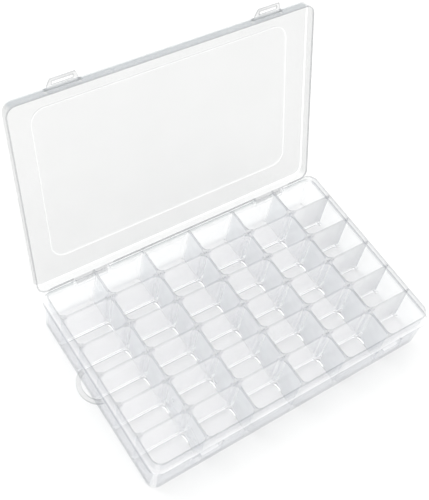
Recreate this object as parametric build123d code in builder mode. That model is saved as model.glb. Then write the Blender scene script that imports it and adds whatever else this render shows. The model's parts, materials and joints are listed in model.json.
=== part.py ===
from build123d import *
import os

# Flat clear organiser box: a 36-cell tray, 30 lift-out dividers, a hinged lid and two latches.
# The origin is the centre of the tray's underside. X runs along the hinge line, +Y points to the hinge
# and Z is up. The lid and the latches are drawn shut and then turned to the open resting position.

os.makedirs("parts", exist_ok=True)

# tray shell
TRAY_HEIGHT = 42.4
FLOOR = 1.6
BODY_X = 269.4
BODY_Y = 171.2
BODY_RADIUS = 9.0
BODY_DRAFT = 1.8
BOTTOM_EDGE_RADIUS = 2.4
SHELF_X = 272.4
SHELF_Y = 174.0
SHELF_TOP = 33.4
SHELF_THICKNESS = 1.8
SHELF_RADIUS = 9.4
UPSTAND_X = 267.2
UPSTAND_Y = 168.8

# grid of compartments
COLUMNS = 6
ROWS = 6
PITCH_X = 44.55
PITCH_Y = 28.06
WALL = 1.4
CELL_X = PITCH_X - WALL
ROW_BAND = 3.0
CELL_Y = PITCH_Y - ROW_BAND
CELL_RADIUS = 4.4
FIN_REACH = 4.6
SLOT_WIDTH = 1.6
INSIDE_X = 265.0
INSIDE_Y = 166.8
INSIDE_RADIUS = 7.7

# dividers
DIVIDER_THICKNESS = 1.2
DIVIDER_LENGTH = 42.3
DIVIDER_LIFT_GAP = 0.05
DIVIDER_HEIGHT = TRAY_HEIGHT - FLOOR - DIVIDER_LIFT_GAP

# hanging loop on the left wall
LOOP_HALF_WIDTH = 16.7
LOOP_REACH = 14.2
LOOP_BAND = 3.6
LOOP_Z = 28.6
LOOP_THICKNESS = 2.2

# hinges on the back wall
HINGE_Y = 86.7
HINGE_Z = 31.3
FITTING_CENTRES = (-2 * PITCH_X, 2 * PITCH_X)
PIN_RADIUS = 1.1
RUNNING_CLEARANCE = 0.06
BARREL_RADIUS = 2.1
BARREL_LENGTH = 27.2
LUG_RADIUS = 1.9
LUG_WIDTH = 3.0
LUG_SPAN = 28.0
CLIP_MOUTH = 1.8
CLIP_MOUTH_ANGLE = -45.0
HINGE_POCKET_Y = 84.3
HINGE_POCKET_DROP = 2.0
NOTCH_WIDTH = 36.0
NOTCH_DEPTH = 5.0
NOTCH_BOTTOM = 34.4
CUT_MARGIN = 1.0
OPEN_ANGLE = 107.1

# lid
LID_X = 270.0
LID_Y = 172.2
LID_RADIUS = 8.6
LID_TOP = 44.4
LID_EDGE = 33.7
LID_PLATE = 1.4
LID_TOP_EDGE_RADIUS = 1.0
LID_WALL = 1.1
PANEL_X = 228.0
PANEL_Y = 136.0
PANEL_RADIUS = 12.0
PANEL_RISE = 0.5
PANEL_CENTRE_Y = -2.5

# latches and catches on the front
LATCH_Y = -88.1
LATCH_Z = 36.5
LATCH_THICKNESS = 1.4
LATCH_BASE = 24.6
LATCH_TIP = 20.0
LATCH_LENGTH = 9.0
LATCH_REST_TILT = 15.0
WINDOW_WIDTH = 16.8
WINDOW_NEAR = 3.1
WINDOW_FAR = 6.7
STUB_RADIUS = 1.0
STUB_LENGTH = 1.8
EAR_WIDTH = 2.2
EAR_RADIUS = 1.7
EAR_GAP = 0.3
CATCH_WIDTH = 15.8
CATCH_FRONT = -89.6
CATCH_BOTTOM = 30.4
CATCH_TOP = 32.9
FRAME_HALF = 12.7
FRAME_RIB = 1.4
FRAME_BOTTOM = 19.4
FRAME_FRONT = -88.0


def hinge_line():
    """The line the lid turns on, along X behind the tray."""
    return Axis((0, HINGE_Y, HINGE_Z), (1, 0, 0))


def make_compartments():
    """The space inside the tray: 36 round-cornered cells joined where the dividers stand."""
    end_depth = INSIDE_Y / 2 - (ROWS / 2 - 1) * PITCH_Y - ROW_BAND / 2
    end_y = INSIDE_Y / 2 - end_depth / 2
    with BuildPart() as space:
        with BuildSketch(Plane.XY.offset(FLOOR)):
            with GridLocations(PITCH_X, PITCH_Y, COLUMNS, ROWS - 2):
                RectangleRounded(CELL_X, CELL_Y, CELL_RADIUS)
            with GridLocations(PITCH_X, 2 * end_y, COLUMNS, 2):
                RectangleRounded(CELL_X, end_depth, CELL_RADIUS)
            with GridLocations(PITCH_X, PITCH_Y, COLUMNS, ROWS - 1):
                Rectangle(PITCH_X - 2 * FIN_REACH, ROW_BAND)
                Rectangle(CELL_X, SLOT_WIDTH)
        extrude(amount=TRAY_HEIGHT)
        with BuildSketch(Plane.XY.offset(FLOOR)):
            RectangleRounded(INSIDE_X, INSIDE_Y, INSIDE_RADIUS)
        extrude(amount=TRAY_HEIGHT, mode=Mode.INTERSECT)
    return space.part


def make_loop():
    """Flat curved loop for hanging the box, rooted in the left wall."""
    root_x = -BODY_X / 2 + WALL / 2
    with BuildPart() as loop:
        with BuildSketch(Plane.XY.offset(LOOP_Z)):
            with Locations((root_x, 0)):
                Ellipse(LOOP_REACH, LOOP_HALF_WIDTH)
                Ellipse(LOOP_REACH - LOOP_BAND, LOOP_HALF_WIDTH - LOOP_BAND, mode=Mode.SUBTRACT)
            with Locations((root_x + LOOP_REACH / 2, 0)):
                Rectangle(LOOP_REACH, 2 * LOOP_HALF_WIDTH, mode=Mode.SUBTRACT)
        extrude(amount=LOOP_THICKNESS)
    return loop.part


def make_hinge_cuts():
    """Room behind the back wall for the lid's hinge clips, and the notch in the rim above each."""
    pocket_depth = SHELF_Y / 2 - HINGE_POCKET_Y + CUT_MARGIN
    pocket_bottom = HINGE_Z - BARREL_RADIUS - HINGE_POCKET_DROP
    with BuildPart() as cuts:
        with BuildSketch(Plane.XY.offset(pocket_bottom)):
            for x in FITTING_CENTRES:
                with Locations((x, HINGE_POCKET_Y + pocket_depth / 2)):
                    Rectangle(LUG_SPAN, pocket_depth)
        extrude(amount=SHELF_TOP + CUT_MARGIN - pocket_bottom)
        with BuildSketch(Plane.XY.offset(NOTCH_BOTTOM)):
            for x in FITTING_CENTRES:
                for side in (-1, 1):
                    with Locations((x + side * (NOTCH_WIDTH + WALL) / 4, UPSTAND_Y / 2)):
                        Rectangle((NOTCH_WIDTH - WALL) / 2, NOTCH_DEPTH)
        extrude(amount=TRAY_HEIGHT)
    return cuts.part


def make_hinge_mounts():
    """Two lugs and the round pin between them for each hinge."""
    lug_root = BODY_Y / 2 - WALL / 2
    with BuildPart() as mounts:
        for x in FITTING_CENTRES:
            for side in (-1, 1):
                inner_face = x + side * LUG_SPAN / 2
                with BuildSketch(Plane.YZ.offset(inner_face)):
                    with Locations(((lug_root + HINGE_Y) / 2, HINGE_Z)):
                        Rectangle(HINGE_Y - lug_root, 2 * LUG_RADIUS)
                    with Locations((HINGE_Y, HINGE_Z)):
                        Circle(LUG_RADIUS)
                extrude(amount=side * LUG_WIDTH)
            with BuildSketch(Plane.YZ.offset(x - LUG_SPAN / 2 - LUG_WIDTH / 2)):
                with Locations((HINGE_Y, HINGE_Z)):
                    Circle(PIN_RADIUS)
            extrude(amount=LUG_SPAN + LUG_WIDTH)
    return mounts.part


def make_catches():
    """A ledge for each latch to snap under, with a U-shaped rib frame below it."""
    wall_y = -BODY_Y / 2 + WALL
    with BuildPart() as catches:
        for x in FITTING_CENTRES:
            with BuildSketch(Plane.XY.offset(CATCH_BOTTOM)):
                with Locations((x, (wall_y + CATCH_FRONT) / 2)):
                    Rectangle(CATCH_WIDTH, wall_y - CATCH_FRONT)
            extrude(amount=CATCH_TOP - CATCH_BOTTOM)
            frame_height = SHELF_TOP - FRAME_BOTTOM
            with BuildSketch(Plane.XZ.offset(-wall_y)):
                with Locations((x, FRAME_BOTTOM + frame_height / 2)):
                    Rectangle(2 * FRAME_HALF + 2 * FRAME_RIB, frame_height)
                with Locations((x, FRAME_BOTTOM + frame_height / 2 + FRAME_RIB)):
                    Rectangle(2 * FRAME_HALF, frame_height, mode=Mode.SUBTRACT)
            extrude(amount=wall_y - FRAME_FRONT)
    return catches.part


def make_tray():
    """Tray with fixed walls, divider slots, lid shelf, hinge pins, catches and hanging loop."""
    loop = make_loop()
    catches = make_catches()
    hinge_cuts = make_hinge_cuts()
    compartments = make_compartments()
    hinge_mounts = make_hinge_mounts()
    with BuildPart() as tray:
        with BuildSketch(Plane.XY.offset(SHELF_TOP)):
            RectangleRounded(BODY_X, BODY_Y, BODY_RADIUS)
        extrude(amount=-SHELF_TOP, taper=BODY_DRAFT)
        fillet(tray.faces().sort_by(Axis.Z)[0].edges(), radius=BOTTOM_EDGE_RADIUS)
        with BuildSketch(Plane.XY.offset(SHELF_TOP)):
            RectangleRounded(SHELF_X, SHELF_Y, SHELF_RADIUS)
        extrude(amount=-SHELF_THICKNESS)
        with BuildSketch(Plane.XY.offset(SHELF_TOP)):
            RectangleRounded(UPSTAND_X, UPSTAND_Y, BODY_RADIUS)
        extrude(amount=TRAY_HEIGHT - SHELF_TOP)
        add(loop)
        add(catches)
        add(hinge_cuts, mode=Mode.SUBTRACT)
        add(compartments, mode=Mode.SUBTRACT)
        add(hinge_mounts)
    tray.part.label = "tray"
    return tray.part


def make_divider(column, row):
    """One lift-out divider plate standing in its slots."""
    left = max((column - 1 - COLUMNS / 2) * PITCH_X + WALL / 2, -INSIDE_X / 2)
    right = min((column - COLUMNS / 2) * PITCH_X - WALL / 2, INSIDE_X / 2)
    x = (left + right) / 2
    y = (row - ROWS / 2) * PITCH_Y
    with BuildPart() as divider:
        with BuildSketch(Plane.XY.offset(FLOOR + DIVIDER_LIFT_GAP)):
            with Locations((x, y)):
                Rectangle(DIVIDER_LENGTH, DIVIDER_THICKNESS)
        extrude(amount=DIVIDER_HEIGHT)
    divider.part.label = f"divider_{column}_{row}"
    return divider.part


def make_hinge_clips():
    """The lid's two open barrels, each on a short leaf, that clip over the tray's pins."""
    leaf_height = LID_EDGE + LID_PLATE - HINGE_Z
    with BuildPart() as clips:
        for x in FITTING_CENTRES:
            with BuildSketch(Plane.YZ.offset(x - BARREL_LENGTH / 2)):
                with Locations((HINGE_Y, HINGE_Z)):
                    Circle(BARREL_RADIUS)
                with Locations((LID_Y / 2 - LID_WALL / 2, HINGE_Z + leaf_height / 2)):
                    Rectangle(LID_WALL, leaf_height)
                with Locations((HINGE_Y, HINGE_Z)):
                    Circle(PIN_RADIUS + RUNNING_CLEARANCE, mode=Mode.SUBTRACT)
                with Locations(Location((HINGE_Y, HINGE_Z), CLIP_MOUTH_ANGLE)):
                    with Locations((BARREL_RADIUS, 0)):
                        Rectangle(2 * BARREL_RADIUS, CLIP_MOUTH, mode=Mode.SUBTRACT)
            extrude(amount=BARREL_LENGTH)
    return clips.part


def make_latch_ears():
    """A pair of ears for each latch, with a round hole through each ear."""
    front_face = -LID_Y / 2
    with BuildPart() as ears:
        for x in FITTING_CENTRES:
            for side in (-1, 1):
                ear_face = x + side * (LATCH_BASE / 2 + EAR_GAP)
                with BuildSketch(Plane.YZ.offset(ear_face)):
                    with Locations(((front_face + LATCH_Y) / 2, LATCH_Z)):
                        Rectangle(front_face - LATCH_Y, 2 * EAR_RADIUS)
                    with Locations((LATCH_Y, LATCH_Z)):
                        Circle(EAR_RADIUS)
                        Circle(STUB_RADIUS + RUNNING_CLEARANCE, mode=Mode.SUBTRACT)
                extrude(amount=side * EAR_WIDTH)
    return ears.part


def make_lid():
    """Lid with its raised panel, hinge clips at the back and latch ears at the front, turned open."""
    clips = make_hinge_clips()
    ears = make_latch_ears()
    with BuildPart() as lid:
        with BuildSketch(Plane.XY.offset(LID_EDGE)):
            RectangleRounded(LID_X, LID_Y, LID_RADIUS)
        extrude(amount=LID_TOP - LID_EDGE)
        with BuildSketch(Plane.XY.offset(LID_EDGE)):
            RectangleRounded(LID_X - 2 * LID_WALL, LID_Y - 2 * LID_WALL, LID_RADIUS - LID_WALL)
        extrude(amount=LID_TOP - LID_PLATE - LID_EDGE, mode=Mode.SUBTRACT)
        fillet(lid.faces().sort_by(Axis.Z)[-1].edges(), radius=LID_TOP_EDGE_RADIUS)
        for height, mode in ((LID_TOP, Mode.ADD), (LID_TOP - LID_PLATE, Mode.SUBTRACT)):
            with BuildSketch(Plane.XY.offset(height)):
                with Locations((0, PANEL_CENTRE_Y)):
                    RectangleRounded(PANEL_X, PANEL_Y, PANEL_RADIUS)
            extrude(amount=PANEL_RISE, mode=mode)
        add(clips)
        add(ears)
    opened = lid.part.rotate(hinge_line(), -OPEN_ANGLE)
    opened.label = "lid"
    return opened


def make_latch(name, x):
    """Snap latch: a flat flap with a window, and a round stub pin on each side."""
    with BuildPart() as latch:
        with BuildSketch(Plane.XY.offset(LATCH_Z - LATCH_THICKNESS / 2)):
            near = LATCH_Y + LATCH_THICKNESS / 2
            tip = LATCH_Y - LATCH_LENGTH
            with BuildLine():
                Polyline(
                    (x - LATCH_BASE / 2, near),
                    (x + LATCH_BASE / 2, near),
                    (x + LATCH_BASE / 2, LATCH_Y - WINDOW_NEAR),
                    (x + LATCH_TIP / 2, tip),
                    (x - LATCH_TIP / 2, tip),
                    (x - LATCH_BASE / 2, LATCH_Y - WINDOW_NEAR),
                    close=True,
                )
            make_face()
            with Locations((x, LATCH_Y - (WINDOW_NEAR + WINDOW_FAR) / 2)):
                Rectangle(WINDOW_WIDTH, WINDOW_FAR - WINDOW_NEAR, mode=Mode.SUBTRACT)
        extrude(amount=LATCH_THICKNESS)
        with BuildSketch(Plane.YZ.offset(x - LATCH_BASE / 2 - STUB_LENGTH)):
            with Locations((LATCH_Y, LATCH_Z)):
                Circle(STUB_RADIUS)
        extrude(amount=LATCH_BASE + 2 * STUB_LENGTH)
    pivot = Axis((0, LATCH_Y, LATCH_Z), (1, 0, 0))
    opened = latch.part.rotate(pivot, LATCH_REST_TILT).rotate(hinge_line(), -OPEN_ANGLE)
    opened.label = name
    return opened


for part in [
    make_tray(),
    make_lid(),
    make_latch("latch_left", FITTING_CENTRES[0]),
    make_latch("latch_right", FITTING_CENTRES[1]),
]:
    export_step(part, f"parts/{part.label}.step")

for column in range(1, COLUMNS + 1):
    for row in range(1, ROWS):
        divider = make_divider(column, row)
        export_step(divider, f"parts/{divider.label}.step")
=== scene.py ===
"""Looks of the clear compartment organiser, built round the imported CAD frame."""

import bpy
import json
import math
from mathutils import Matrix, Vector


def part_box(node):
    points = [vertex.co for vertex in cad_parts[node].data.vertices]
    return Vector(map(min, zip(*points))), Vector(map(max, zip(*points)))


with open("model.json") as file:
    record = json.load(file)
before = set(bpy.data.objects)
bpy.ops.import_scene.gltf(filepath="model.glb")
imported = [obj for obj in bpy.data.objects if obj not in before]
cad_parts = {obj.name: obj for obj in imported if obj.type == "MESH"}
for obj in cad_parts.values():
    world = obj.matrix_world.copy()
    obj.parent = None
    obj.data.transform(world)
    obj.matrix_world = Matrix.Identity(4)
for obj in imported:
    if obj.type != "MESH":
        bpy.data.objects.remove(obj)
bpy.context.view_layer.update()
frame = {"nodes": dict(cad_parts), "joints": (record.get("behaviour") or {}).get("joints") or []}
nodes = frame["nodes"]
RIM_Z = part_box("tray")[1].z
MM = 0.001


def mm(*lengths):
    """Lengths in millimetres as a tuple of metres."""
    return tuple(length * MM for length in lengths)


# ---------------------------------------------------------------- sizes
ORIGIN = (0.0, 0.0, 0.0)
UP = (0.0, 0.0, 1.0)
RIGHT = (1.0, 0.0, 0.0)
FRONT = (0.0, -1.0, 0.0)
COLUMN_PITCH = 44.55 * MM
ROW_PITCH = 28.06 * MM
SHELF_TOP = 33.4 * MM
ABOVE_RIM = RIM_Z + MM
RIM_LINE = RIM_Z - 0.7 * MM

hinge = next(j for j in frame["joints"] if j["name"] == "lid_hinge")
HINGE_POINT = tuple(hinge["pos_m"])
OPENED = math.radians(-hinge["range_deg"][0])
LID_UP = (0.0, math.sin(OPENED), math.cos(OPENED))
LID_FRONT = (0.0, -math.cos(OPENED), math.sin(OPENED))
LID_EDGE = 33.7 * MM - HINGE_POINT[2]
LID_PLATE = 43.0 * MM - HINGE_POINT[2]

# the raised panel: where its middle lies from the hinge, its half sizes and its corner radius
PANEL_DEPTH = HINGE_POINT[1] + 2.5 * MM
PANEL_HALF = mm(114, 68)
PANEL_CORNER = 12 * MM

# bands of height, or of another distance where the paint says so: low, high, softness
BANDS = {
    "fin": mm(1.1, 5.2, 0.2),
    "stub_shade": mm(1.6, 5.6, 0.3),
    "highlight_stub": mm(1.6, 4.0, 0.3),
    "wall_foot": mm(0.6, 2.0, 0.3),
    "below_shelf": mm(1.0, 29.0, 1.0),
    "below_ledge": mm(1.0, 33.4, 0.3),
    "ledge": mm(33.0, 33.6, 0.15),
    "far_foot": mm(-1.0, 1.2, 0.5),
    "near_foot": mm(-1.0, 1.5, 0.5),
    "upstand": (SHELF_TOP, RIM_LINE, 0.3 * MM),
    "rim_top": (RIM_LINE, ABOVE_RIM, 0.1 * MM),
    "shelf": mm(31.6, 33.4, 0.1),
    "divider_foot_shade": mm(1.6, 2.5, 0.2),
    "divider_foot_highlight": mm(2.9, 4.1, 0.3),
    "skirt_edge": (LID_EDGE - MM, LID_EDGE + 0.6 * MM, 0.2 * MM),
    "free_edge": (LID_EDGE - 0.5 * MM, LID_EDGE + 0.5 * MM, 0.1 * MM),
    "plate_edge_highlight": (LID_PLATE - 0.5 * MM, LID_PLATE + 0.3 * MM, 0.2 * MM),
    "panel_highlight": mm(-0.2, 0.0, 0.12),
}
# the part of a row, counted in pitches, that the painted highlight stubs take up
STUB_ROW = (0.03, 0.34, 0.03)

# places where a paint sets in: start, full
OUTER_X, OUTER_Y = mm(132.7, 133.2), mm(83.6, 84.0)
RIM_X, RIM_Y = mm(131.5, 132.0), mm(82.6, 83.0)
SHELF_X, SHELF_Y = mm(134.9, 135.2), mm(85.8, 86.1)
FOOT_X, FOOT_Y = mm(131.3, 131.6), mm(82.2, 82.5)
FAR_X, BEHIND_Y = mm(131.9, 132.2), mm(-82.6, -83.0)
RIB_Y = mm(84.2, 84.5)
LOOP_X = mm(-136.5, -136.9)
STUB_ROWS, STUB_COLUMNS = mm(-72, -70), mm(-130, -129)
DIVIDER_END = mm(92, 130)
DIVIDER_END_SHARE = 0.9
LID_RIGHT_HALF, LID_FREE_END, LID_BY_HINGE = mm(0, 1), mm(172.9, 173.2), mm(40, 20)

# ---------------------------------------------------------------- looks
CLEAR_TINT = (0.995, 0.996, 0.997)
# painted shade: the darker bluish tint of faces turned sideways
SHADED_SIDE_BLUE = (0.70, 0.715, 0.735)
# painted light on the thin walls behind and on the right
FAR_WALL_LIT_WHITE = (0.93, 0.94, 0.95)
# painted shade, lighter, on the fins beside the walls
FIN_SHADE_BLUE = (0.74, 0.75, 0.77)
# painted shade towards the far end of the dividers
END_SHADE_GREY = (0.46, 0.47, 0.49)
# painted shade on the near outer walls, the upstand and the shelf
OUTER_SHADE_BLUE = (0.34, 0.36, 0.40)
# painted light: the lighter tints of front faces and of flat faces
FRONT_LIT_WHITE = (0.87, 0.865, 0.87)
FLAT_LIT_WHITE = (0.92, 0.91, 0.92)
LID_GREY = (0.30, 0.30, 0.30)
# painted shade: the bluer, heavier tint of the lid's front skirts
LID_FRONT_SHADE = (0.30, 0.335, 0.36)
GREEN_GREY = (0.45, 0.50, 0.49)
# painted shade: the dark lines where edges bend the light
EDGE_SHADE = (0.14, 0.15, 0.17)
# painted highlight: the bright lines, which also glow
GLINT = (1.0, 1.0, 1.0)
BLACK = (0.0, 0.0, 0.0)

# painted glow: each film gives off a share of its own colour as light, standing in for light passing
# through the plastic; painted highlights glow brighter
GLOW = 0.145
GLINT_GLOW = 0.5
ROUGHNESS = 0.18
IOR = 1.5
FLOW_SCALE = 30.0
FLOW_DETAIL = 3.0
FLOW_RANGE = (0.3, 0.7)
GRAIN_SCALE = 220.0
GRAIN_DETAIL = 2.0
GRAIN_STRENGTH = 0.03
GRAIN_DISTANCE = 0.3 * MM
FLAT_TURN = (0.5, 0.8)
UPRIGHT_TURN = (0.4, 0.8)
FACING_BLEND = 0.5
GRAZING_START = 0.72

# share of the surface that the film covers, by the way a face points; the heavier film on sideways faces
# and front skirts is painted shade
TRAY_FILMS = {"flat": 0.14, "front": 0.26, "side": 0.42, "grazing": 0.15, "uneven": 0.15}
DIVIDER_FILMS = {"flat": 0.14, "front": 0.26, "side": 0.03, "grazing": 0.1, "uneven": 0.15}
LID_FILMS = {"flat": 0.14, "front": 0.34, "side": 0.10, "grazing": 0.2, "uneven": 0.04}
LATCH_FILMS = {"flat": 0.15, "front": 0.32, "side": 0.36, "grazing": 0.3, "uneven": 0.1}
# film colour by the way a face points: lit and shaded copies of one plastic, painted light and painted
# shade
TRAY_TINTS = {"flat": FLAT_LIT_WHITE, "front": FRONT_LIT_WHITE, "side": SHADED_SIDE_BLUE}
LID_TINTS = {"flat": LID_GREY, "front": LID_FRONT_SHADE, "side": LID_GREY}
LATCH_TINTS = {"flat": LID_GREY, "front": EDGE_SHADE, "side": EDGE_SHADE}

# paints over the film: cover, colour; the dark edge coats are painted shade lines, the glint coats
# painted highlights, and the bluish and whiter wall coats painted shade and painted light
COATS = {
    "fin": (0.10, FIN_SHADE_BLUE),
    "stub_shade": (0.55, EDGE_SHADE),
    "highlight_stub": (1.0, GLINT),
    "wall_foot": (0.45, EDGE_SHADE),
    "outer_wall": (0.31, OUTER_SHADE_BLUE),
    "rib_side": (0.14, SHADED_SIDE_BLUE),
    "far_wall": (0.16, FAR_WALL_LIT_WHITE),
    "ledge": (0.25, EDGE_SHADE),
    "far_foot": (0.12, OUTER_SHADE_BLUE),
    "near_foot": (0.14, EDGE_SHADE),
    "upstand": (0.13, OUTER_SHADE_BLUE),
    "back_upstand": (0.11, GREEN_GREY),
    "rim_top": (0.26, EDGE_SHADE),
    "shelf_flat": (0.22, OUTER_SHADE_BLUE),
    "shelf_front_highlight": (0.13, GLINT),
    "shelf_edge": (0.33, EDGE_SHADE),
    "loop_flat": (0.12, LID_GREY),
    "loop_edge": (0.35, EDGE_SHADE),
    "divider_end": (0.34, END_SHADE_GREY),
    "divider_foot_shade": (0.7, EDGE_SHADE),
    "divider_foot_highlight": (0.9, GLINT),
    "lid_back": (0.09, LID_GREY),
    "far_skirt": (0.17, LID_GREY),
    "free_end": (0.10, LID_GREY),
    "by_hinge": (0.06, LID_GREY),
    "skirt_edge": (0.27, EDGE_SHADE),
    "free_edge": (0.32, EDGE_SHADE),
    "far_edge": (0.60, EDGE_SHADE),
    "plate_edge_highlight": (0.60, GLINT),
    "panel_highlight": (0.24, GLINT),
}
# painted shade and highlight lines along the top of a wall: faces, reach below the rim, softness, cover,
# colour
TOP_SHADE_AND_HIGHLIGHT_LINES = (
    ("left", 0.6 * MM, 0.1 * MM, 0.85, EDGE_SHADE),
    ("right", 0.9 * MM, 0.2 * MM, 0.70, GLINT),
    ("front", 0.5 * MM, 0.15 * MM, 0.35, EDGE_SHADE),
    ("back", 0.7 * MM, 0.2 * MM, 0.45, GLINT),
    ("flat", 0.4 * MM, 0.1 * MM, 0.14, EDGE_SHADE),
)


# ---------------------------------------------------------------- node helpers
def new_material(name):
    material = bpy.data.materials.new(name)
    material.use_nodes = True
    material.node_tree.nodes.clear()
    return material, material.node_tree


def feed(tree, socket, value):
    """Put a constant on the socket itself, or link another node's output to it."""
    if isinstance(value, (int, float)):
        socket.default_value = value
    elif isinstance(value, tuple):
        socket.default_value = (*value, 1.0)
    else:
        tree.links.new(value, socket)


def math_node(tree, operation, *values, clamp=False):
    node = tree.nodes.new("ShaderNodeMath")
    node.operation = operation
    node.use_clamp = clamp
    for socket, value in zip(node.inputs, values):
        feed(tree, socket, value)
    return node.outputs[0]


def ramp(tree, value, low, high, out_low=0.0, out_high=1.0):
    node = tree.nodes.new("ShaderNodeMapRange")
    node.inputs["From Min"].default_value = low
    node.inputs["From Max"].default_value = high
    node.inputs["To Min"].default_value = out_low
    node.inputs["To Max"].default_value = out_high
    tree.links.new(value, node.inputs["Value"])
    return node.outputs["Result"]


def mix_colour(tree, factor, a, b):
    node = tree.nodes.new("ShaderNodeMix")
    node.data_type = "RGBA"
    for socket, value in ((node.inputs[0], factor), (node.inputs[6], a), (node.inputs[7], b)):
        feed(tree, socket, value)
    return node.outputs[2]


def mix_value(tree, factor, a, b):
    node = tree.nodes.new("ShaderNodeMix")
    node.data_type = "FLOAT"
    for socket, value in ((node.inputs[0], factor), (node.inputs[2], a), (node.inputs[3], b)):
        feed(tree, socket, value)
    return node.outputs[0]


def noise(tree, vector, scale, detail):
    node = tree.nodes.new("ShaderNodeTexNoise")
    node.inputs["Scale"].default_value = scale
    node.inputs["Detail"].default_value = detail
    tree.links.new(vector, node.inputs["Vector"])
    return node.outputs["Fac"]


def along(tree, vector, origin, direction):
    """How far the vector lies from origin along direction."""
    offset = tree.nodes.new("ShaderNodeVectorMath")
    offset.operation = "SUBTRACT"
    offset.inputs[1].default_value = origin
    tree.links.new(vector, offset.inputs[0])
    dot = tree.nodes.new("ShaderNodeVectorMath")
    dot.operation = "DOT_PRODUCT"
    dot.inputs[1].default_value = direction
    tree.links.new(offset.outputs[0], dot.inputs[0])
    return dot.outputs["Value"]


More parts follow.
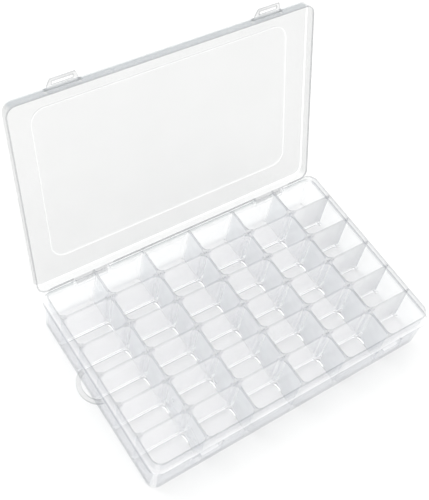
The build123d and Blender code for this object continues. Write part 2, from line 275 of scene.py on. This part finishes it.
class Plastic:
    """Clear moulded plastic drawn as a thin film whose cover and colour change over the moulding and
    carry painted light: lit and shaded tints by the way a face points, painted shade and highlight lines,
    and a painted glow.

    upward is the moulding's own up direction, forward its way to the front, and origin the point
    that heights and depths count from. Each paint lies over the ones before it.
    """

    def __init__(self, name, films, tints, upward=UP, forward=FRONT, origin=ORIGIN):
        self.material, self.tree = new_material(name)
        coords = self.tree.nodes.new("ShaderNodeTexCoord")
        self.vector = coords.outputs["Object"]
        self.across = along(self.tree, self.vector, origin, RIGHT)
        self.height = along(self.tree, self.vector, origin, upward)
        self.depth = along(self.tree, self.vector, origin, forward)
        self.faces = self.sort_faces(coords.outputs["Normal"], upward, forward)
        self.tint = self.by_face(mix_colour, tints)
        self.cover = self.film_cover(films)
        # the painted glow, a share of the film's tint given off as light
        self.light = mix_colour(self.tree, GLOW, BLACK, self.tint)

    def sort_faces(self, normal, upward, forward):
        """Masks for the ways a face can point on the moulding."""
        tree = self.tree
        turned_right = along(tree, normal, ORIGIN, RIGHT)
        turned_front = along(tree, normal, ORIGIN, forward)
        turned_up = math_node(tree, "ABSOLUTE", along(tree, normal, ORIGIN, upward))
        start, full = UPRIGHT_TURN
        faces = {
            "flat": ramp(tree, turned_up, *FLAT_TURN),
            "left": ramp(tree, turned_right, -start, -full),
            "right": ramp(tree, turned_right, start, full),
            "front": ramp(tree, turned_front, start, full),
            "back": ramp(tree, turned_front, -start, -full),
        }
        faces["side"] = math_node(tree, "ADD", faces["left"], faces["right"])
        faces["upright"] = math_node(tree, "SUBTRACT", 1.0, faces["flat"])
        return faces

    def by_face(self, mix, values):
        """A value for each way a face points, blended in between."""
        upright = mix(self.tree, self.faces["side"], values["front"], values["side"])
        return mix(self.tree, self.faces["flat"], upright, values["flat"])

    def film_cover(self, films):
        """Share of the surface that the film covers: set by the way a face points, heavier on the
        painted-shade sides, more at a grazing look as a painted reflection, and uneven with the flow.
        """
        tree = self.tree
        facing = tree.nodes.new("ShaderNodeLayerWeight")
        facing.inputs["Blend"].default_value = FACING_BLEND
        grazing = ramp(tree, facing.outputs["Facing"], GRAZING_START, 1.0, 0.0, films["grazing"])
        cover = math_node(tree, "ADD", self.by_face(mix_value, films), grazing, clamp=True)
        flow = noise(tree, self.vector, FLOW_SCALE, FLOW_DETAIL)
        share = ramp(tree, flow, *FLOW_RANGE, 1.0 - films["uneven"], 1.0 + films["uneven"])
        return math_node(tree, "MULTIPLY", cover, share)

    def both(self, *masks):
        """Where all the masks hold. A word names a way of facing."""
        masks = [self.faces[mask] if isinstance(mask, str) else mask for mask in masks]
        result = masks[0]
        for mask in masks[1:]:
            result = math_node(self.tree, "MULTIPLY", result, mask)
        return result

    def either(self, first, second):
        return math_node(self.tree, "MAXIMUM", first, second)

    def set_in(self, value, place):
        """0 before the place, rising to 1 from its start to its full value."""
        return ramp(self.tree, value, *place)

    def band(self, limits, value=None):
        """1 within low..high of the height (or of value), falling to 0 over soft on both sides."""
        low, high, soft = limits
        value = self.height if value is None else value
        rising = ramp(self.tree, value, low - soft, low)
        falling = ramp(self.tree, value, high, high + soft, 1.0, 0.0)
        return math_node(self.tree, "MULTIPLY", rising, falling)

    def outside(self, half_x, half_y):
        """Beyond the upright box with these half sizes round the middle."""
        size_x = math_node(self.tree, "ABSOLUTE", self.across)
        size_y = math_node(self.tree, "ABSOLUTE", self.depth)
        return self.either(self.set_in(size_x, half_x), self.set_in(size_y, half_y))

    def paint(self, mask, coat):
        cover, colour = coat
        # a coat also sets the painted glow, brighter for a painted highlight
        glow = GLINT_GLOW if colour == GLINT else GLOW
        self.tint = mix_colour(self.tree, mask, self.tint, colour)
        self.light = mix_colour(self.tree, mask, self.light, tuple(glow * c for c in colour))
        self.cover = mix_value(self.tree, mask, self.cover, cover)

    def line(self, faces, name, value=None):
        """The band and the coat of this name on the faces that point that way."""
        self.paint(self.both(self.band(BANDS[name], value), faces), COATS[name])

    def from_nearest(self, value, pitch):
        """Distance from the nearest of the evenly spaced planes, in metres."""
        tree = self.tree
        turns = math_node(tree, "DIVIDE", value, pitch)
        part = math_node(tree, "FRACT", math_node(tree, "ADD", turns, 0.5))
        centred = math_node(tree, "ABSOLUTE", math_node(tree, "SUBTRACT", part, 0.5))
        return math_node(tree, "MULTIPLY", centred, pitch)

    def outline(self, centre_depth, half_x, half_y, radius):
        """Signed distance from a rounded rectangle drawn across and along the moulding."""
        tree = self.tree
        away = math_node(tree, "SUBTRACT", self.depth, centre_depth)
        past, squares = [], []
        for value, half in ((self.across, half_x), (away, half_y)):
            over = math_node(tree, "SUBTRACT", math_node(tree, "ABSOLUTE", value), half - radius)
            corner = math_node(tree, "MAXIMUM", over, 0.0)
            past.append(over)
            squares.append(math_node(tree, "MULTIPLY", corner, corner))
        outside = math_node(tree, "SQRT", math_node(tree, "ADD", *squares))
        inside = math_node(tree, "MINIMUM", math_node(tree, "MAXIMUM", *past), 0.0)
        return math_node(tree, "SUBTRACT", math_node(tree, "ADD", outside, inside), radius)

    def gloss(self):
        """The film's own shader: glossy plastic with a very fine grain, giving off the painted glow."""
        tree = self.tree
        body = tree.nodes.new("ShaderNodeBsdfPrincipled")
        body.inputs["Roughness"].default_value = ROUGHNESS
        body.inputs["IOR"].default_value = IOR
        body.inputs["Emission Strength"].default_value = 1.0
        tree.links.new(self.tint, body.inputs["Base Color"])
        tree.links.new(self.light, body.inputs["Emission Color"])
        grain = tree.nodes.new("ShaderNodeBump")
        grain.inputs["Strength"].default_value = GRAIN_STRENGTH
        grain.inputs["Distance"].default_value = GRAIN_DISTANCE
        tree.links.new(noise(tree, self.vector, GRAIN_SCALE, GRAIN_DETAIL), grain.inputs["Height"])
        tree.links.new(grain.outputs["Normal"], body.inputs["Normal"])
        return body.outputs[0]

    def done(self):
        tree = self.tree
        clear = tree.nodes.new("ShaderNodeBsdfTransparent")
        clear.inputs["Color"].default_value = (*CLEAR_TINT, 1.0)
        mixed = tree.nodes.new("ShaderNodeMixShader")
        tree.links.new(self.cover, mixed.inputs["Fac"])
        tree.links.new(clear.outputs[0], mixed.inputs[1])
        tree.links.new(self.gloss(), mixed.inputs[2])
        output = tree.nodes.new("ShaderNodeOutputMaterial")
        tree.links.new(mixed.outputs[0], output.inputs["Surface"])
        self.material.cycles.emission_sampling = "NONE"
        return self.material


# ---------------------------------------------------------------- tray
def wall_tops(plastic):
    """Painted shade and painted highlight lines where the top edge of a wall bends the light."""
    for faces, reach, soft, cover, colour in TOP_SHADE_AND_HIGHLIGHT_LINES:
        top = plastic.band((RIM_Z - reach, ABOVE_RIM, soft))
        plastic.paint(plastic.both(top, faces), (cover, colour))


def tray_inside(tray):
    """The slots' fins beside each fixed wall in a lighter painted shade, the painted highlight stubs with
    painted shade above them at the foot of the walls, and a painted shade line along the wall foot.
    """
    fin = tray.band(BANDS["fin"], tray.from_nearest(tray.across, COLUMN_PITCH))
    tray.paint(tray.both(fin, "upright"), COATS["fin"])
    row_part = math_node(tray.tree, "FRACT", math_node(tray.tree, "DIVIDE", tray.depth, ROW_PITCH))
    rows = tray.set_in(tray.depth, STUB_ROWS)
    columns = tray.set_in(tray.across, STUB_COLUMNS)
    highlight_stub = tray.both(tray.band(STUB_ROW, row_part), "left", rows, columns)
    for name in ("stub_shade", "highlight_stub"):
        tray.paint(tray.both(highlight_stub, tray.band(BANDS[name])), COATS[name])
    tray.line("left", "wall_foot")


def tray_outer_walls(tray, behind):
    """Bluish painted shade on the near walls, whiter painted light on the thin ones behind and on the
    right, and painted shade lines along their ledge.
    """
    below_shelf = tray.band(BANDS["below_shelf"])
    outer = tray.outside(OUTER_X, OUTER_Y)
    tray.paint(tray.both(outer, below_shelf, "upright"), COATS["outer_wall"])
    # a lighter painted shade on the sides of the front ribs
    ribs = tray.set_in(tray.depth, RIB_Y)
    tray.paint(tray.both(ribs, below_shelf, "side"), COATS["rib_side"])
    tray.paint(tray.both(behind, below_shelf, "upright"), COATS["far_wall"])
    far_side = tray.set_in(tray.across, FAR_X)
    below_ledge = tray.band(BANDS["below_ledge"])
    tray.paint(tray.both(far_side, below_ledge, "upright"), COATS["far_wall"])
    ledge = tray.band(BANDS["ledge"])
    tray.paint(tray.both(far_side, ledge, "left"), COATS["ledge"])
    tray.paint(tray.both(behind, ledge, "front"), COATS["ledge"])


def tray_foot(tray):
    """Painted shade lines where the outer walls meet the underside: faint on the far side, darker near.
    """
    for side, name in ((1.0, "far_foot"), (-1.0, "near_foot")):
        foot_x = tray.set_in(tray.across, tuple(side * x for x in FOOT_X))
        foot_y = tray.set_in(tray.depth, tuple(-side * y for y in FOOT_Y))
        tray.paint(tray.both(tray.either(foot_x, foot_y), tray.band(BANDS[name])), COATS[name])


def tray_rim(tray, behind):
    """The upstand above the shelf in bluish painted shade, greener behind, and a painted shade line along
    its top edge.
    """
    upstand = tray.band(BANDS["upstand"])
    rim = tray.outside(RIM_X, RIM_Y)
    tray.paint(tray.both(rim, upstand, "upright"), COATS["upstand"])
    tray.paint(tray.both(rim, upstand, behind), COATS["back_upstand"])
    tray.paint(tray.both(rim, tray.band(BANDS["rim_top"])), COATS["rim_top"])


def tray_shelf(tray):
    """The shelf that the lid rests on, in bluish painted shade with a painted shade line on its edge and
    a painted highlight along the front.
    """
    shelf = tray.both(tray.outside(SHELF_X, SHELF_Y), tray.band(BANDS["shelf"]))
    tray.paint(tray.both(shelf, "flat"), COATS["shelf_flat"])
    ahead = tray.set_in(tray.depth, SHELF_Y)
    tray.paint(tray.both(shelf, ahead, "flat"), COATS["shelf_front_highlight"])
    tray.paint(tray.both(shelf, "upright"), COATS["shelf_edge"])


def make_tray_plastic():
    tray = Plastic("tray_plastic", TRAY_FILMS, TRAY_TINTS)
    behind = tray.set_in(tray.depth, BEHIND_Y)
    tray_inside(tray)
    wall_tops(tray)
    tray_outer_walls(tray, behind)
    tray_foot(tray)
    tray_rim(tray, behind)
    tray_shelf(tray)
    # the loops: a grey film on their flat faces and painted shade on their upright faces
    loop = tray.set_in(tray.across, LOOP_X)
    tray.paint(tray.both(loop, "flat"), COATS["loop_flat"])
    tray.paint(tray.both(loop, "upright"), COATS["loop_edge"])
    return tray.done()


# ---------------------------------------------------------------- dividers, lid and latches
def make_divider_plastic():
    divider = Plastic("divider_plastic", DIVIDER_FILMS, TRAY_TINTS)
    # painted shade, darker towards the right end of each divider
    end_shade = ramp(divider.tree, divider.across, *DIVIDER_END, 0.0, DIVIDER_END_SHARE)
    divider.paint(divider.both(end_shade, "upright"), COATS["divider_end"])
    wall_tops(divider)
    # a painted shade line at the foot and a painted highlight line just above it
    divider.line("front", "divider_foot_shade")
    divider.line("front", "divider_foot_highlight")
    return divider.done()


def make_lid_plastic():
    lid = Plastic("lid_plastic", LID_FILMS, LID_TINTS, LID_UP, LID_FRONT, HINGE_POINT)
    # lighter and darker film by side and place, painted light and painted shade: the back faces, the far
    # skirt, the free end and the faces by the hinge
    lid.paint(lid.faces["back"], COATS["lid_back"])
    right_half = lid.set_in(lid.across, LID_RIGHT_HALF)
    lid.paint(lid.both(right_half, "side"), COATS["far_skirt"])
    lid.paint(lid.set_in(lid.depth, LID_FREE_END), COATS["free_end"])
    lid.paint(lid.both(lid.set_in(lid.depth, LID_BY_HINGE), "front"), COATS["by_hinge"])
    # painted shade lines along the skirts' lower edge, the free edge and the far skirt's edge
    lid.line("upright", "skirt_edge")
    lid.line("flat", "free_edge")
    free_edge = lid.band(BANDS["free_edge"])
    lid.paint(lid.both(right_half, free_edge, "side"), COATS["far_edge"])
    # painted highlight lines along the plate's edge and round the raised panel
    lid.line("upright", "plate_edge_highlight")
    lid.line("flat", "panel_highlight", lid.outline(PANEL_DEPTH, *PANEL_HALF, PANEL_CORNER))
    return lid.done()


def make_latch_plastic():
    # the latch's film is lid grey on its flat faces and dark painted shade on its upright faces
    latch = Plastic("latch_plastic", LATCH_FILMS, LATCH_TINTS, LID_UP, LID_FRONT, HINGE_POINT)
    return latch.done()


tray_plastic = make_tray_plastic()
divider_plastic = make_divider_plastic()
lid_plastic = make_lid_plastic()
latch_plastic = make_latch_plastic()

for node_name, node in nodes.items():
    if node_name == "tray":
        material = tray_plastic
    elif node_name == "lid":
        material = lid_plastic
    elif node_name.startswith("latch"):
        material = latch_plastic
    else:
        material = divider_plastic
    node.data.materials.clear()
    node.data.materials.append(material)

# ---------------------------------------------------------------- floor and light
FLOOR_SIZE = 12.0
FLOOR_DROP = 0.2 * MM
PALE_FLOOR = (0.95, 0.952, 0.946)
FLOOR_ROUGHNESS = 0.9
SKY_WHITE = (1.0, 1.0, 1.0)
SKY_STRENGTH = 1.06
KEY_PLACE = (-0.5, 0.7, 1.3)
KEY_SIZE = 0.6
KEY_POWER = 4.0

bpy.ops.mesh.primitive_plane_add(size=FLOOR_SIZE, location=(0, 0, -FLOOR_DROP))
floor = bpy.context.object
floor.name = "floor"
floor_material, floor_tree = new_material("pale_floor")
floor_shader = floor_tree.nodes.new("ShaderNodeBsdfPrincipled")
floor_shader.inputs["Specular IOR Level"].default_value = 0.0
floor_shader.inputs["Base Color"].default_value = (*PALE_FLOOR, 1.0)
floor_shader.inputs["Roughness"].default_value = FLOOR_ROUGHNESS
floor_output = floor_tree.nodes.new("ShaderNodeOutputMaterial")
floor_tree.links.new(floor_shader.outputs[0], floor_output.inputs["Surface"])
floor.data.materials.append(floor_material)

world = bpy.data.worlds.new("studio")
bpy.context.scene.world = world
world.use_nodes = True
background = world.node_tree.nodes["Background"]
background.inputs["Color"].default_value = (*SKY_WHITE, 1.0)
background.inputs["Strength"].default_value = SKY_STRENGTH

light = bpy.data.lights.new("key", "AREA")
light.shape = "SQUARE"
light.size = KEY_SIZE
light.energy = KEY_POWER
key = bpy.data.objects.new("key", light)
bpy.context.scene.collection.objects.link(key)
key.location = KEY_PLACE
key.rotation_euler = (-Vector(KEY_PLACE)).to_track_quat("-Z", "Y").to_euler()

# ---------------------------------------------------------------- camera
CAMERA_AZIMUTH = math.radians(-138.302)
CAMERA_ELEVATION = math.radians(51.990)
CAMERA_ROLL = math.radians(16.748)
CAMERA_DISTANCE = 0.83234
CAMERA_TARGET = Vector((0.050636, 0.055889, RIM_Z))
LENS = 70.371
SENSOR = 36.0
SHIFT_X = -0.081
SHIFT_Y = -0.040

backward = Vector((
    math.cos(CAMERA_ELEVATION) * math.cos(CAMERA_AZIMUTH),
    math.cos(CAMERA_ELEVATION) * math.sin(CAMERA_AZIMUTH),
    math.sin(CAMERA_ELEVATION),
))
level_right = Vector(UP).cross(backward).normalized()
level_up = backward.cross(level_right)
cos_roll, sin_roll = math.cos(CAMERA_ROLL), math.sin(CAMERA_ROLL)
right = level_right * cos_roll + level_up * sin_roll
up = level_up * cos_roll - level_right * sin_roll

camera_data = bpy.data.cameras.new("camera")
camera_data.lens = LENS
camera_data.sensor_width = SENSOR
camera_data.sensor_fit = "AUTO"
camera_data.shift_x = SHIFT_X
camera_data.shift_y = SHIFT_Y
camera = bpy.data.objects.new("camera", camera_data)
bpy.context.scene.collection.objects.link(camera)
place = Matrix((right, up, backward)).transposed().to_4x4()
place.translation = CAMERA_TARGET + backward * CAMERA_DISTANCE
camera.matrix_world = place

# a look through clear walls crosses many surfaces
TRANSPARENT_BOUNCES = 48
BOUNCES = 16
scene = bpy.context.scene
scene.camera = camera
scene.view_settings.view_transform = "Standard"
scene.cycles.transparent_max_bounces = TRANSPARENT_BOUNCES
scene.cycles.max_bounces = BOUNCES
